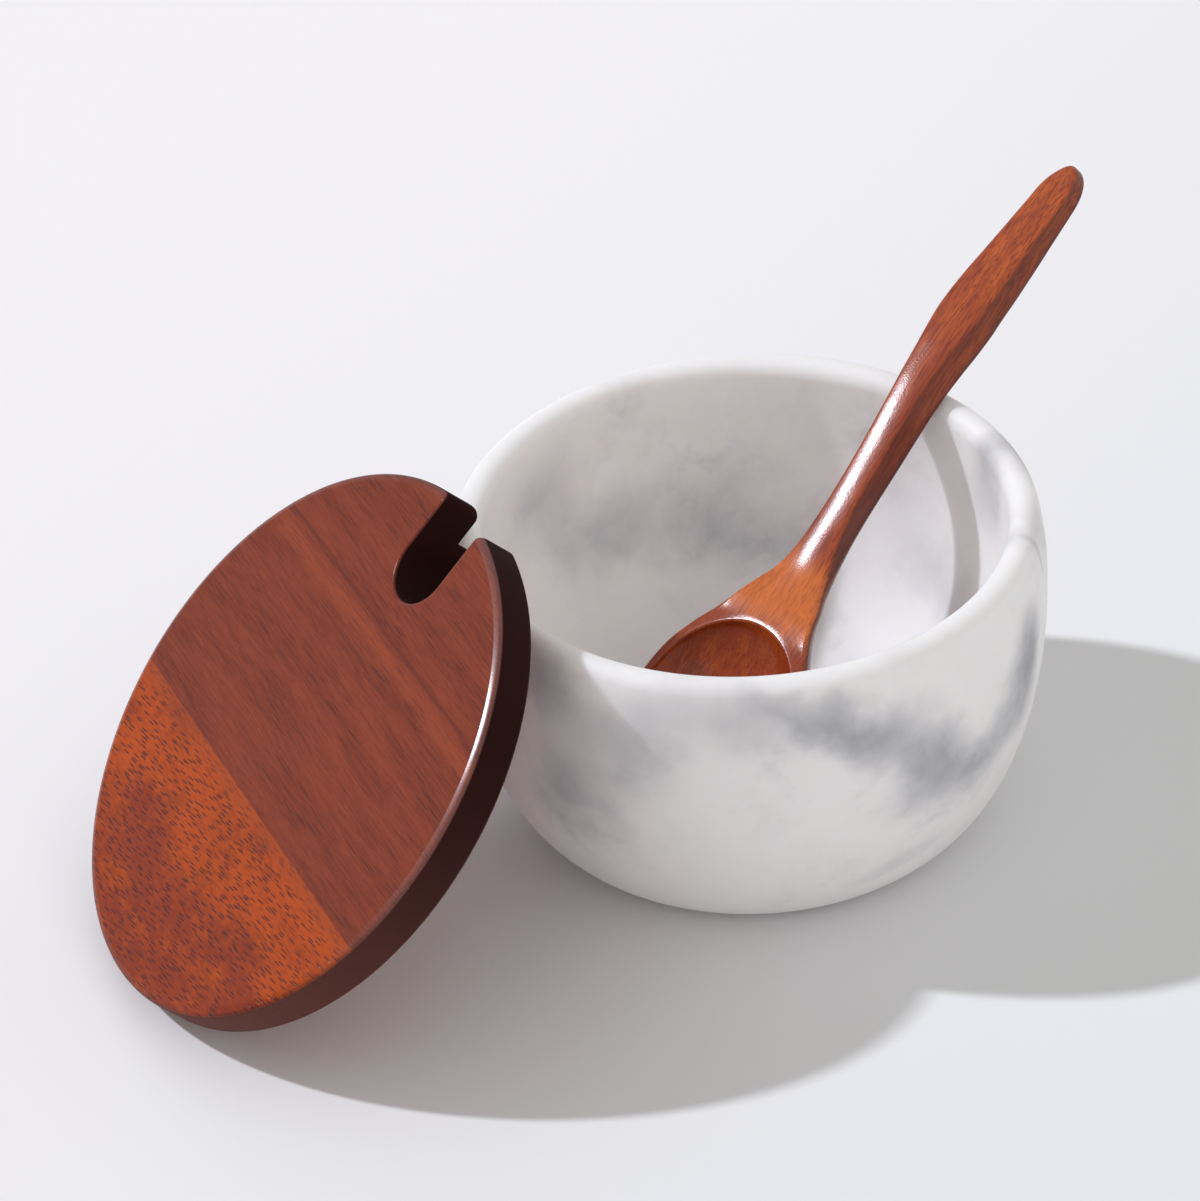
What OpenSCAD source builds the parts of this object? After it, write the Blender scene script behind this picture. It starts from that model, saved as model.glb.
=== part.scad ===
// Salt cellar: a turned marble bowl, a round lid glued up from two wooden boards, and a
// carved wooden spoon. The lid is off and leans on the bowl, and the spoon stands in it.
// Millimetres, +Z up. The origin is the centre of the bowl's foot, on the table.

/* [Bowl] */
// Widest outer diameter of the bowl
bowl_d = 100; // [84:1:120]
// Height of the bowl, from the table to the top of its lip
bowl_h = 58; // [50:1:70]
// Diameter of the flat foot that the bowl stands on
foot_d = 60; // [44:1:70]
// Outer diameter at the lip, a little less than the widest
mouth_d = 98; // [82:0.5:118]
// Height at which the bowl is widest
widest_h = 45.5; // [38:0.5:47]
// Width of the rounded lip
lip_w = 5.2; // [4:0.1:7]
// Thickness of the wall where the bowl is widest
wall_t = 5.9; // [5:0.1:8]
// Thickness of the stone under the middle of the hollow
floor_t = 7; // [5:0.5:12]
// Fullness of the outer curve, where 2 is a true ellipse
outer_fullness = 2.1; // [1.9:0.05:2.6]
// Fullness of the inner curve, where 2 is a true ellipse
inner_fullness = 2.35; // [2:0.05:2.8]

/* [Lid] */
// Diameter of the lid
lid_d = 97; // [84:0.5:116]
// Thickness of the lid's flange
flange_t = 7.9; // [6:0.1:11]
// Rounding of the flange's edges
flange_edge_r = 1.2; // [0.6:0.1:2.4]
// Diameter of the plug under the lid, which drops into the bowl's mouth
plug_d = 83.6; // [70:0.2:86]
// Thickness of the plug
plug_t = 3.7; // [2.5:0.1:5]
// Rounding of the plug's lower edge
plug_edge_r = 0.8; // [0.4:0.1:1.6]
// Width of the slot for the spoon's handle
slot_w = 13; // [10:0.1:18]
// Length of the slot, from the lid's edge to its round end
slot_len = 18.3; // [14:0.5:26]
// Chamfer along the slot's edges
slot_chamfer = 0.5; // [0.3:0.1:1.2]
// Rounding of the two corners where the slot leaves the lid's edge
slot_corner_r = 1.5; // [0.8:0.1:2.5]
// Distance of the slot's middle line from the lid's centre
slot_shift = 0.7; // [0:0.05:5]
// Distance of the glue line from the lid's centre, on the side away from the slot
seam_shift = 12.05; // [4:0.05:20]

/* [Spoon] */
// Length of the spoon
spoon_len = 129.8; // [110:0.2:150]
// Outer length of the scoop
scoop_len = 37.6; // [32:0.2:42]
// Outer width of the scoop
scoop_w = 31.8; // [26:0.2:36]
// Height of the scoop, from its rim to its underside
scoop_h = 9.6; // [8:0.1:12]
// Width of the scoop's rim round the hollow
scoop_rim_w = 1.5; // [1:0.1:2.5]
// Depth of the scoop's hollow
hollow_h = 7.4; // [5:0.1:7.8]
// Greatest width of the handle
handle_w = 11.2; // [8:0.1:13]
// Width of the neck between scoop and handle
neck_w = 5.9; // [4:0.1:7]
// Thickness of the neck
neck_t = 5.3; // [4.5:0.1:7]
// Thickness of the handle where it is widest
handle_t = 4.3; // [3:0.1:5.5]
// Drop of the neck below the scoop's tip, along the whole bend of the spoon
neck_drop = 5.4; // [2:0.1:8]
// Drop of the handle's end below the scoop's tip
end_drop = 9.6; // [5:0.1:12]

/* [Placing] */
// Slope of the lid as it leans on the bowl
lid_tilt = 45; // [38:1:56]
// Direction in which the lid's top leans, counted from +X
lid_bearing = 19.1; // [0:0.1:40]
// Distance of the lid's centre beside the line through the bowl's axis
lid_beside = 3.5; // [0:0.1:6]
// Turn of the lid about its own axis
lid_spin = 2.8; // [0:0.1:12]
// Direction in which the spoon's handle leans, counted from +X
spoon_bearing = 42; // [34:0.5:50]
// Distance of the spoon's middle plane beside the bowl's axis
spoon_beside = 2; // [0:0.1:4]
// Clearance between pieces that rest on each other
seat_gap = 0.3; // [0.2:0.05:0.5]

/* [Hidden] */
// Overrun of a cut past the face that it starts from
over_share = 0.05;
over = bowl_d * over_share;
// Points on each curve of an outline, on each small rounding and over the lip
curve_steps = 24;
round_steps = 5;
lip_steps = 12;
// Facets of a turned piece
$fn = 96;

bowl_r = bowl_d / 2;
mouth_r = mouth_d / 2;
foot_r = foot_d / 2;
lip_r = lip_w / 2;
lip_z = bowl_h - lip_r;
lip_mid_r = mouth_r - lip_r;
hollow_r = bowl_r - wall_t;
hollow_mouth_r = mouth_r - lip_w;
// How fast the wall draws in again above its widest height
upper_power = 2.3;

lid_r = lid_d / 2;
plug_r = plug_d / 2;
lid_t = flange_t + plug_t;

// One point of a quarter of a superellipse, with sides a and b
function quarter(a, b, fullness, angle) =
    [a * pow(sin(angle), 2 / fullness), b * (1 - pow(cos(angle), 2 / fullness))];

// A round corner: its points from one angle to another
function corner(centre, r, from, to, steps = round_steps) =
    [for (i = [0 : steps])
        let (angle = from + (to - from) * i / steps)
        centre + r * [cos(angle), sin(angle)]];

// Height of the hollow's surface at a distance from the bowl's axis
function hollow_z(r) =
    floor_t + (widest_h - floor_t)
        * (1 - pow(1 - pow(min(1, r / hollow_r), inner_fullness), 1 / inner_fullness));

outer_curve = [for (i = [0 : curve_steps])
    [foot_r, 0] + quarter(bowl_r - foot_r, widest_h, outer_fullness, 90 * i / curve_steps)];
outer_upper = [for (i = [1 : round_steps])
    let (share = i / round_steps)
    [bowl_r - (bowl_r - mouth_r) * pow(share, upper_power), widest_h + (lip_z - widest_h) * share]];
lip_curve = corner([lip_mid_r, lip_z], lip_r, 0, 180, lip_steps);
inner_upper = [for (i = [round_steps - 1 : -1 : 0])
    let (share = i / round_steps)
    [hollow_r - (hollow_r - hollow_mouth_r) * pow(share, upper_power),
     widest_h + (lip_z - widest_h) * share]];
inner_curve = [for (i = [curve_steps - 1 : -1 : 0])
    [0, floor_t] + quarter(hollow_r, widest_h - floor_t, inner_fullness, 90 * i / curve_steps)];
// The lip's two ends are the ends of the wall's curves, so each is given once
lip_top = [for (i = [1 : len(lip_curve) - 2]) lip_curve[i]];
bowl_outer = concat([[0, 0]], outer_curve, outer_upper, lip_top);
bowl_outline = concat(bowl_outer, [[hollow_mouth_r, lip_z]], inner_upper, inner_curve);

// Outline of the whole lid as a turned disc, with its top face at height 0
lid_outline = concat(
    [[0, 0]],
    corner([lid_r - flange_edge_r, -flange_edge_r], flange_edge_r, 90, 0),
    corner([lid_r - flange_edge_r, flange_edge_r - flange_t], flange_edge_r, 0, -90),
    [[plug_r, -flange_t]],
    corner([plug_r - plug_edge_r, plug_edge_r - lid_t], plug_edge_r, 0, -90),
    [[0, -lid_t]]);

// Where the leaning lid's centre goes: its edge is on the table, and its underside lies
// the seat gap off the bowl
lid_centre_z = (lid_r - flange_edge_r) * sin(lid_tilt)
    + (flange_t - flange_edge_r) * cos(lid_tilt) + flange_edge_r;
// How far the lid reaches below its top face at a distance up its slope
function lid_depth(up) = abs(up) < plug_r ? lid_t : abs(up) < lid_r ? flange_t : -lid_d;
// How far the bowl would press into the lid, if the lid's centre were this far out
function lid_press(out) = max([for (p = bowl_outer)
    let (rise = p.y - lid_centre_z)
    let (up = (out - p.x) * cos(lid_tilt) + rise * sin(lid_tilt))
    (p.x - out) * sin(lid_tilt) + rise * cos(lid_tilt) + lid_depth(up)]);
function lid_out(near, far, tries) =
    let (middle = (near + far) / 2)
    tries == 0 ? far
        : lid_press(middle) > -seat_gap ? lid_out(middle, far, tries - 1)
        : lid_out(near, middle, tries - 1);
halvings = 30;
lid_centre_out = lid_out(bowl_r, bowl_r + lid_d, halvings);

// The spoon's own frame has +X from the scoop's tip to the handle's end, and +Z up. Each
// pair below is a station, as a share of the scoop's length or of the length from the scoop
// to the handle's end, and a share of a named size.
scoop_width_shares = [[0.5, 1], [0.639, 0.965], [0.797, 0.82], [0.97, 0.585]];
shoulder_width_shares = [[0.048, 0.41], [0.105, 0.265]];
neck_width_shares = [[0.175, 1.06], [0.244, 1], [0.311, 1.05], [0.379, 1.155]];
handle_width_shares = [[0.45, 0.68], [0.506, 0.76], [0.562, 0.84], [0.607, 0.94], [0.658, 0.992],
    [0.716, 1], [0.778, 0.946], [0.847, 0.845], [0.917, 0.74], [1, 0.64]];
scoop_thick_shares = [[0, 0.17], [0.079, 0.44], [0.214, 0.75], [0.397, 0.958], [0.532, 1],
    [0.718, 0.96], [0.904, 0.75]];
neck_thick_shares = [[0.048, 1.04], [0.134, 0.99], [0.244, 1], [0.352, 0.907]];
handle_thick_shares = [[0.493, 0.97], [0.578, 0.97], [0.658, 1], [0.789, 0.95], [0.916, 0.86],
    [1, 0.75]];
scoop_drop_shares = [[0, 0], [0.483, 0.6], [0.967, 0.98]];
neck_drop_shares = [[0.099, 1], [0.226, 0.965], [0.381, 0.85], [0.55, 0.77], [0.662, 0.8],
    [0.718, 0.9]];
end_drop_shares = [[0.789, 0.63], [0.859, 0.74], [0.93, 0.86], [1, 1]];
// The handle's squarer section takes over from the scoop's between these stations
section_shares = [0.014, 0.352];

function handle_place(share) = scoop_len + share * (spoon_len - scoop_len);
function on_scoop(shares, size) = [for (p = shares) [p[0] * scoop_len, p[1] * size]];
function on_handle(shares, size) = [for (p = shares) [handle_place(p[0]), p[1] * size]];
half_widths = concat(on_scoop(scoop_width_shares, scoop_w / 2),
    on_handle(shoulder_width_shares, scoop_w / 2), on_handle(neck_width_shares, neck_w / 2),
    on_handle(handle_width_shares, handle_w / 2));
thicknesses = concat(on_scoop(scoop_thick_shares, scoop_h), on_handle(neck_thick_shares, neck_t),
    on_handle(handle_thick_shares, handle_t));
drops = concat(on_scoop(scoop_drop_shares, neck_drop), on_handle(neck_drop_shares, neck_drop),
    on_handle(end_drop_shares, end_drop));
section_from = handle_place(section_shares[0]);
section_to = handle_place(section_shares[1]);

// A smooth curve through pairs of place and value, without overshoot
function rise_after(pairs, i) =
    (pairs[i + 1][1] - pairs[i][1]) / (pairs[i + 1][0] - pairs[i][0]);
function slope_at(pairs, i) =
    i == 0 || i == len(pairs) - 1 ? 0
        : let (before = rise_after(pairs, i - 1))
          let (after = rise_after(pairs, i))
          before * after <= 0 ? 0 : 2 * before * after / (before + after);
function span_of(pairs, at, i = 0) =
    i >= len(pairs) - 2 || at < pairs[i + 1][0] ? i : span_of(pairs, at, i + 1);
function smooth_at(pairs, at) =
    let (i = span_of(pairs, at))
    let (width = pairs[i + 1][0] - pairs[i][0])
    let (t = max(0, min(1, (at - pairs[i][0]) / width)))
    pairs[i][1] * (1 + 2 * t) * pow(1 - t, 2) + slope_at(pairs, i) * width * t * pow(1 - t, 2)
        + pairs[i + 1][1] * t * t * (3 - 2 * t) + slope_at(pairs, i + 1) * width * t * t * (t - 1);
function ease(t) = let (c = max(0, min(1, t))) c * c * (3 - 2 * c);
function mix(a, b, t) = a + (b - a) * t;
// Half a chord of an ellipse, as a share of its other half axis
function chord(offset, half_axis) = sqrt(max(0, 1 - pow(offset / half_axis, 2)));

scoop_mid = scoop_len / 2;
hollow_a = scoop_mid - scoop_rim_w;
hollow_b = scoop_w / 2 - scoop_rim_w;
// How steeply the hollow's wall meets its rim, where 0.5 is an ellipsoid
hollow_power = 0.65;
// The end of the handle is rounded off over this length
end_round_share = 0.42;
end_round = handle_w * end_round_share;
end_thin_share = 0.55;
crown_share = 0.1;
handle_crown = handle_t * crown_share;
// The soft edge round the top, as a share of the scoop's rim or of the handle's section
rim_edge_share = 0.45;
top_edge_share = 0.42;
// The flat between the hollow and the edge takes this share where there is no hollow
flat_share = 0.55;

function end_chord(x) = x < spoon_len - end_round ? 1 : chord(x - spoon_len + end_round, end_round);
function half_width(x) =
    x < scoop_mid ? scoop_w / 2 * chord(x - scoop_mid, scoop_mid)
        : smooth_at(half_widths, x) * end_chord(x);
function thickness(x) = smooth_at(thicknesses, x) * mix(end_thin_share, 1, end_chord(x));
function top_z(x) = -smooth_at(drops, x);
function squareness(x) = ease((x - section_from) / (section_to - section_from));
function hollow_dip(x, y) =
    let (q = pow((x - scoop_mid) / hollow_a, 2) + pow(y / hollow_b, 2))
    q >= 1 ? 0 : hollow_h * pow(1 - q, hollow_power);

edge_points = 3;
top_points = 12;
bottom_points = 14;
// How full the underside's curve is on the scoop and on the handle, where 2 is an ellipse
scoop_belly = 2;
handle_belly = 7;
// One ring round the spoon: along the top from +Y to -Y, and back underneath
function ring(x) =
    let (w = half_width(x))
    let (t = thickness(x))
    let (k = squareness(x))
    let (edge = min(mix(scoop_rim_w * rim_edge_share, top_edge_share * min(w, t), k), w / 2))
    let (flat = max(hollow_b * chord(x - scoop_mid, hollow_a), flat_share * (w - edge)))
    let (belly = mix(scoop_belly, handle_belly, k))
    let (rim = [for (i = [0 : edge_points])
        let (angle = 90 * i / edge_points)
        [w - edge * (1 - cos(angle)), top_z(x) - edge * (1 - sin(angle))]])
    concat(
        [for (p = rim) [x, p.x, p.y]],
        [for (i = [0 : top_points])
            let (y = flat * (1 - 2 * i / top_points))
            [x, y, top_z(x) - hollow_dip(x, y) + k * handle_crown * (1 - pow(y / w, 2))]],
        [for (i = [edge_points : -1 : 0]) [x, -rim[i].x, rim[i].y]],
        [for (i = [1 : bottom_points - 1])
            let (angle = 180 * i / bottom_points)
            let (y = -w * sign(cos(angle)) * pow(abs(cos(angle)), 2 / belly))
            [x, y, top_z(x) - edge - (t - edge) * pow(sin(angle), 2 / belly)]]);

scoop_rings = 24;
handle_rings = 22;
end_rings = 6;
handle_run = spoon_len - end_round - scoop_len;
// The first and last ring stop this short of the very ends
end_gap_share = 0.002;
stations = concat(
    [for (i = [0 : scoop_rings]) scoop_mid * (1 - cos(180 * i / scoop_rings) * (1 - end_gap_share))],
    [for (i = [1 : handle_rings]) scoop_len + handle_run * i / handle_rings],
    [for (i = [1 : end_rings])
        spoon_len - end_round * (1 - sin(90 * i / end_rings) * (1 - end_gap_share))]);
rings = [for (x = stations) ring(x)];
ring_len = len(rings[0]);

// Where the standing spoon goes, in the upright plane of its handle: its scoop's tip is on
// the far side of the bowl's axis, low enough to rest on the hollow's surface
scoop_reach_share = 0.575;
scoop_reach = hollow_r * scoop_reach_share;
scoop_points = [for (i = [0 : scoop_rings]) each rings[i]];
function spoon_z(slope) = seat_gap + max([for (p = scoop_points)
    hollow_z(norm([p.x * cos(slope) - p.z * sin(slope) - scoop_reach, p.y + spoon_beside]))
        - p.x * sin(slope) - p.z * cos(slope)]);
// A point of the spoon as its distance from the bowl's axis and its height, both counted
// from the middle of the lip's rounding
function from_lip(p, slope, z) =
    [norm([p.x * cos(slope) - p.z * sin(slope) - scoop_reach, p.y + spoon_beside]) - lip_mid_r,
     p.x * sin(slope) + p.z * cos(slope) + z - lip_z];
// Distance from that middle to the line between two such points, negative from below
function line_distance(a, b) =
    let (run = b - a)
    let (t = max(0, min(1, -(a * run) / (run * run))))
    norm(a + t * run) * (cross(run, -a) < 0 ? 1 : -1);
// The clear distance between the handle and the bowl's lip at a slope
handle_rings_near = [for (i = [scoop_rings + 1 : scoop_rings + handle_rings]) rings[i]];
function lip_clearance(slope) =
    let (z = spoon_z(slope))
    min([for (i = [0 : len(handle_rings_near) - 2], j = [0 : ring_len - 1])
        line_distance(from_lip(handle_rings_near[i][j], slope, z),
            from_lip(handle_rings_near[i + 1][j], slope, z))]) - lip_r;
function spoon_slope(low, high, tries) =
    let (middle = (low + high) / 2)
    tries == 0 ? high
        : lip_clearance(middle) < seat_gap ? spoon_slope(middle, high, tries - 1)
        : spoon_slope(low, middle, tries - 1);
least_slope = 10;
most_slope = 75;
handle_slope = spoon_slope(least_slope, most_slope, halvings);

module bowl() {
    color([0.93, 0.93, 0.94])
        rotate_extrude()
            polygon(bowl_outline);
}

// What rounds off the corner at the slot's mouth on one side, 1 for +Y and -1 for -Y
module mouth_corner(side) {
    y = slot_shift + side * (slot_w / 2 + slot_corner_r);
    x = sqrt(pow(lid_r - slot_corner_r, 2) - y * y);
    edge_angle = atan2(y, x);
    translate([0, 0, -lid_t - over])
        linear_extrude(lid_t + 2 * over)
            polygon(concat(
                [[x, slot_shift]],
                corner([x, y], slot_corner_r, -90 * side, edge_angle),
                [(lid_r + over) * [cos(edge_angle), sin(edge_angle)], [lid_r + over, slot_shift]]));
}

// The lid as one turned disc with its slot cut, lying flat, slot towards +X
module slotted_disc() {
    slot_end = lid_r - slot_len + slot_w / 2;
    chamfer_w = slot_w + 2 * slot_chamfer;
    difference() {
        rotate_extrude()
            polygon(lid_outline);
        translate([0, slot_shift, 0]) {
            translate([slot_end, 0, -lid_t - over])
                cylinder(d = slot_w, h = lid_t + 2 * over);
            translate([slot_end, -slot_w / 2, -lid_t - over])
                cube([slot_len, slot_w, lid_t + 2 * over]);
            translate([slot_end, 0, -slot_chamfer])
                cylinder(d1 = slot_w, d2 = chamfer_w, h = slot_chamfer);
            translate([slot_end, 0, 0])
                rotate([90, 0, 90])
                    linear_extrude(slot_len)
                        polygon([[-slot_w / 2, -slot_chamfer], [slot_w / 2, -slot_chamfer],
                            [chamfer_w / 2, 0], [chamfer_w / 2, over], [-chamfer_w / 2, over],
                            [-chamfer_w / 2, 0]]);
        }
        mouth_corner(1);
        mouth_corner(-1);
    }
}

// A flat lid's place as it leans on the bowl
module leaning() {
    rotate([0, 0, lid_bearing])
        translate([-lid_centre_out, -lid_beside, lid_centre_z])
            rotate([0, -lid_tilt, 0])
                rotate([0, 0, lid_spin])
                    children();
}

module lid_main_board() {
    color([0.52, 0.24, 0.17])
        leaning()
            intersection() {
                slotted_disc();
                translate([-seam_shift, -lid_d, -lid_d])
                    cube([2 * lid_d, 2 * lid_d, 2 * lid_d]);
            }
}

module lid_side_board() {
    color([0.67, 0.31, 0.15])
        leaning()
            intersection() {
                slotted_disc();
                translate([-seam_shift - 2 * lid_d, -lid_d, -lid_d])
                    cube([2 * lid_d, 2 * lid_d, 2 * lid_d]);
            }
}

// Two triangles between neighbouring points of neighbouring rings
function wall_faces(i, j) =
    let (a = i * ring_len + j)
    let (b = i * ring_len + (j + 1) % ring_len)
    [[a, a + ring_len, b], [b, a + ring_len, b + ring_len]];

module spoon_shape() {
    last = len(rings) - 1;
    polyhedron(
        points = [for (r = rings) each r],
        faces = concat(
            [for (i = [0 : last - 1], j = [0 : ring_len - 1]) each wall_faces(i, j)],
            [[for (j = [0 : ring_len - 1]) j]],
            [[for (j = [ring_len - 1 : -1 : 0]) last * ring_len + j]]));
}

module spoon() {
    color([0.6, 0.29, 0.17])
        rotate([0, 0, spoon_bearing])
            translate([-scoop_reach, spoon_beside, spoon_z(handle_slope)])
                rotate([0, -handle_slope, 0])
                    spoon_shape();
}

bowl();
lid_main_board();
lid_side_board();
spoon();
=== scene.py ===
# Salt cellar: a turned marble bowl, a round lid of two wooden boards that leans on it, and a
# carved and lacquered wooden spoon that stands in it. Metres, +Z up, in the frame of the CAD
# model. The origin is the centre of the bowl's foot, on the table.

import math

import bmesh
import bpy
from mathutils import Matrix, Vector


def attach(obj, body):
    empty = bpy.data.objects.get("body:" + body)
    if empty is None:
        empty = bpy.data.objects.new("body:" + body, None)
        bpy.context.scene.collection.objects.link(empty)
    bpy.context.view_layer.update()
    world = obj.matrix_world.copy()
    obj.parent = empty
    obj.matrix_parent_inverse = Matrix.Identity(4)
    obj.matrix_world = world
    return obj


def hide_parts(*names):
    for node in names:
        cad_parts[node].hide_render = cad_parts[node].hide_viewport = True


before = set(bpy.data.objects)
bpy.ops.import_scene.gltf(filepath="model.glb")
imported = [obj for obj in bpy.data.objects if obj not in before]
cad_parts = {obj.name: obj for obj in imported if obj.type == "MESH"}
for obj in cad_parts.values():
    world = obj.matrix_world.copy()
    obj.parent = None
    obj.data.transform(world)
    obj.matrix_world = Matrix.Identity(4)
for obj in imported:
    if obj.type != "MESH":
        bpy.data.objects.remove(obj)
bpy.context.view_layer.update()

MM = 0.001
# Points closer than this are one point
MERGE_DISTANCE = 0.001 * MM

# Sizes of the bowl
BOWL_R = 50 * MM
BOWL_HEIGHT = 58 * MM
FOOT_R = 30 * MM
WIDEST_HEIGHT = 45.5 * MM
LIP_R = 2.6 * MM
LIP_MID_R = 46.4 * MM
LIP_MID_HEIGHT = BOWL_HEIGHT - LIP_R
HOLLOW_R = 44.1 * MM
FLOOR_THICKNESS = 7 * MM
OUTER_FULLNESS = 2.1
INNER_FULLNESS = 2.35
# The lip's rounding takes over from the wall at these angles, outside and inside
LIP_FROM = math.radians(13.2)
LIP_TO = math.radians(184)
# How fast the wall draws in towards the lip
WALL_POWER = 2.3
STEPS_AROUND = 256
# Steps along the profile: across the foot, up a curved wall, up to the lip, and over it
FOOT_STEPS = 6
CURVED_WALL_STEPS = 64
UPPER_WALL_STEPS = 12
LIP_STEPS = 28

# Sizes of the lid
LID_R = 48.48 * MM
FLANGE_THICKNESS = 7.9 * MM
FLANGE_EDGE_R = 1.2 * MM
PLUG_R = 41.8 * MM
PLUG_THICKNESS = 3.7 * MM
PLUG_EDGE_R = 0.8 * MM
SLOT_WIDTH = 13 * MM
SLOT_LENGTH = 18.3 * MM
SLOT_EDGE_R = 0.6 * MM
SLOT_CORNER_R = 1.5 * MM
PLUG_CORNER_R = 0.6 * MM
SLOT_SHIFT = 0.7 * MM
SEAM_X = -12.05 * MM
LID_THICKNESS = FLANGE_THICKNESS + PLUG_THICKNESS

# Sizes of the spoon
SPOON_LENGTH = 129.8 * MM
SCOOP_LENGTH = 37.6 * MM
SCOOP_WIDTH = 31.8 * MM
SCOOP_HEIGHT = 9.6 * MM
SCOOP_RIM = 1.5 * MM
HOLLOW_DEPTH = 7.4 * MM
HOLLOW_POWER = 0.65
HANDLE_WIDTH = 11.2 * MM
NECK_WIDTH = 5.9 * MM
NECK_THICKNESS = 5.3 * MM
HANDLE_THICKNESS = 4.3 * MM
NECK_DROP = 5.4 * MM
END_DROP = 9.6 * MM

# The places of the lid and of the spoon, as the CAD model has them
LID_PLACE = (
    Matrix.Rotation(math.radians(19.1), 4, "Z")
    @ Matrix.Translation((-82.9223 * MM, -3.5 * MM, 39.3838 * MM))
    @ Matrix.Rotation(math.radians(-45), 4, "Y")
    @ Matrix.Rotation(math.radians(2.8), 4, "Z")
)
SPOON_PLACE = (
    Matrix.Rotation(math.radians(42), 4, "Z")
    @ Matrix.Translation((-25.3575 * MM, 2 * MM, 12.9651 * MM))
    @ Matrix.Rotation(math.radians(-38.5114), 4, "Y")
)


# Node trees

class Field:
    """A number that a node tree works out, usable in ordinary arithmetic."""

    def __init__(self, tree, socket):
        self.tree = tree
        self.socket = socket

    def math(self, operation, *others):
        node = self.tree.nodes.new("ShaderNodeMath")
        node.operation = operation
        for socket, value in zip(node.inputs, (self, *others)):
            feed(self.tree, socket, value)
        return Field(self.tree, node.outputs[0])

    def __add__(self, other):
        return self.math("ADD", other)

    def __sub__(self, other):
        return self.math("SUBTRACT", other)

    def __rsub__(self, other):
        return self.math("MULTIPLY_ADD", -1, other)

    def __mul__(self, other):
        return self.math("MULTIPLY", other)

    def __truediv__(self, other):
        return self.math("DIVIDE", other)

    def __pow__(self, other):
        return self.math("POWER", other)

    __radd__ = __add__
    __rmul__ = __mul__

    def sin(self):
        return self.math("SINE")

    def cos(self):
        return self.math("COSINE")

    def abs(self):
        return self.math("ABSOLUTE")

    def least(self, other):
        return self.math("MINIMUM", other)

    def most(self, other):
        return self.math("MAXIMUM", other)

    def ramp(self, low, high):
        """A soft step from 0 at low to 1 at high. The first may be the larger one."""
        node = add_node(self.tree, "ShaderNodeMapRange", {
            "Value": self, "From Min": low, "From Max": high}, interpolation_type="SMOOTHSTEP")
        return Field(self.tree, node.outputs[0])


def feed(tree, socket, value):
    """Links a field or a socket to an input, or sets the input to a plain value."""
    if isinstance(value, Field):
        value = value.socket
    if isinstance(value, bpy.types.NodeSocket):
        tree.links.new(value, socket)
    else:
        socket.default_value = value


def add_node(tree, kind, inputs=None, **settings):
    """Makes a node with its settings and inputs, which are given by name or by number."""
    node = tree.nodes.new(kind)
    for name, value in settings.items():
        setattr(node, name, value)
    for name, value in (inputs or {}).items():
        feed(tree, node.inputs[name], value)
    return node


def new_tree(name, kind, inputs, outputs):
    """A node group with named sockets: its tree, its inputs as fields, and its output node."""
    tree = bpy.data.node_groups.new(name, kind)
    for socket_name, socket_kind, default in inputs:
        socket = tree.interface.new_socket(
            name=socket_name, in_out="INPUT", socket_type=socket_kind)
        if default is not None:
            socket.default_value = default
    for socket_name, socket_kind in outputs:
        tree.interface.new_socket(
            name=socket_name, in_out="OUTPUT", socket_type=socket_kind)
    source = tree.nodes.new("NodeGroupInput")
    fields = {s.name: Field(tree, s) for s in source.outputs if s.name}
    return tree, fields, tree.nodes.new("NodeGroupOutput")


# Pieces

def add_piece(name, mesh, body, node, material=None):
    """Puts a finished mesh in the scene in place of a node of the CAD model. The bowl's mesh
    has its material already."""
    piece = bpy.data.objects.new(name, mesh)
    bpy.context.scene.collection.objects.link(piece)
    if material:
        mesh.materials.append(material)
    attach(piece, body)
    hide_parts(node)


def mesh_from(name, points, faces, place, sharp_degrees):
    """A smooth-shaded mesh with its place in its points, sharp where faces meet steeply."""
    mesh = bpy.data.meshes.new(name)
    mesh.from_pydata([place @ Vector(p) for p in points], [], faces)
    shape = bmesh.new()
    shape.from_mesh(mesh)
    bmesh.ops.remove_doubles(shape, verts=shape.verts, dist=MERGE_DISTANCE)
    bmesh.ops.recalc_face_normals(shape, faces=shape.faces)
    shape.to_mesh(mesh)
    shape.free()
    mesh.shade_smooth()
    mesh.set_sharp_from_angle(angle=math.radians(sharp_degrees))
    return mesh


# The bowl: strips turned about the axis, joined into one closed wall

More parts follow.
